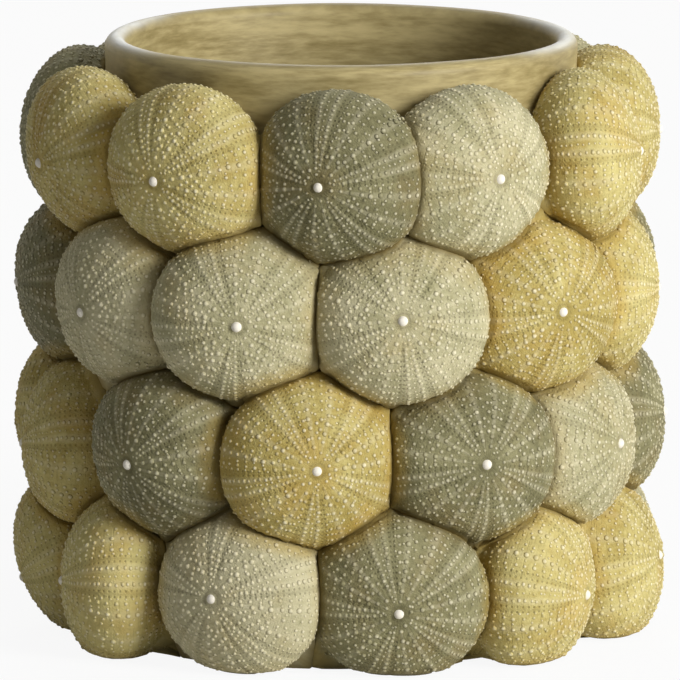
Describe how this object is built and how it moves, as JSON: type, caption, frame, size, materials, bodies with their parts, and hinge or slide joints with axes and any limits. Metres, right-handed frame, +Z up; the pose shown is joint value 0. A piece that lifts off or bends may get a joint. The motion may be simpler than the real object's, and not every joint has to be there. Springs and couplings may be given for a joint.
{
  "type": "flower vase",
  "caption": "Cylindrical flower vase with a rolled lip, its wall covered by staggered rows of sea-urchin shells in mustard, sage and slate; stands on a flat base and holds a bunch or a pot.",
  "frame": {"origin": "centre of the pot's flat underside, on the surface it stands on", "axes": "+Z up out of the mouth, -Y towards the front that the picture shows, +X to the right seen from the front"},
  "size_m": [0.2024, 0.2026, 0.1843],
  "materials": {
    "pot_wash": "olive-tan wash brushed round the pot, matte",
    "mustard": "matte mustard paint, cream beads, dark wash in the recesses",
    "sage": "matte pale grey-green paint, cream beads, dark wash in the recesses",
    "slate": "matte dark grey-green paint, cream beads, dark wash in the recesses"
  },
  "bodies": {
    "root": {"pot": "pot_wash", "urchin_top_01": "slate", "urchin_top_02": "sage", "urchin_top_03": "mustard", "urchin_top_04": "mustard", "urchin_top_05": "sage", "urchin_top_06": "slate", "urchin_top_07": "mustard", "urchin_top_08": "sage", "urchin_top_09": "slate", "urchin_top_10": "mustard", "urchin_top_11": "mustard", "urchin_upper_01": "sage", "urchin_upper_02": "mustard", "urchin_upper_03": "mustard", "urchin_upper_04": "slate", "urchin_upper_05": "sage", "urchin_upper_06": "mustard", "urchin_upper_07": "slate", "urchin_upper_08": "mustard", "urchin_upper_09": "slate", "urchin_upper_10": "sage", "urchin_upper_11": "sage", "urchin_lower_01": "mustard", "urchin_lower_02": "slate", "urchin_lower_03": "sage", "urchin_lower_04": "slate", "urchin_lower_05": "mustard", "urchin_lower_06": "sage", "urchin_lower_07": "mustard", "urchin_lower_08": "slate", "urchin_lower_09": "mustard", "urchin_lower_10": "mustard", "urchin_lower_11": "slate", "urchin_bottom_01": "slate", "urchin_bottom_02": "mustard", "urchin_bottom_03": "mustard", "urchin_bottom_04": "sage", "urchin_bottom_05": "slate", "urchin_bottom_06": "mustard", "urchin_bottom_07": "sage", "urchin_bottom_08": "slate", "urchin_bottom_09": "mustard", "urchin_bottom_10": "mustard", "urchin_bottom_11": "sage"}
  },
  "joints": []
}
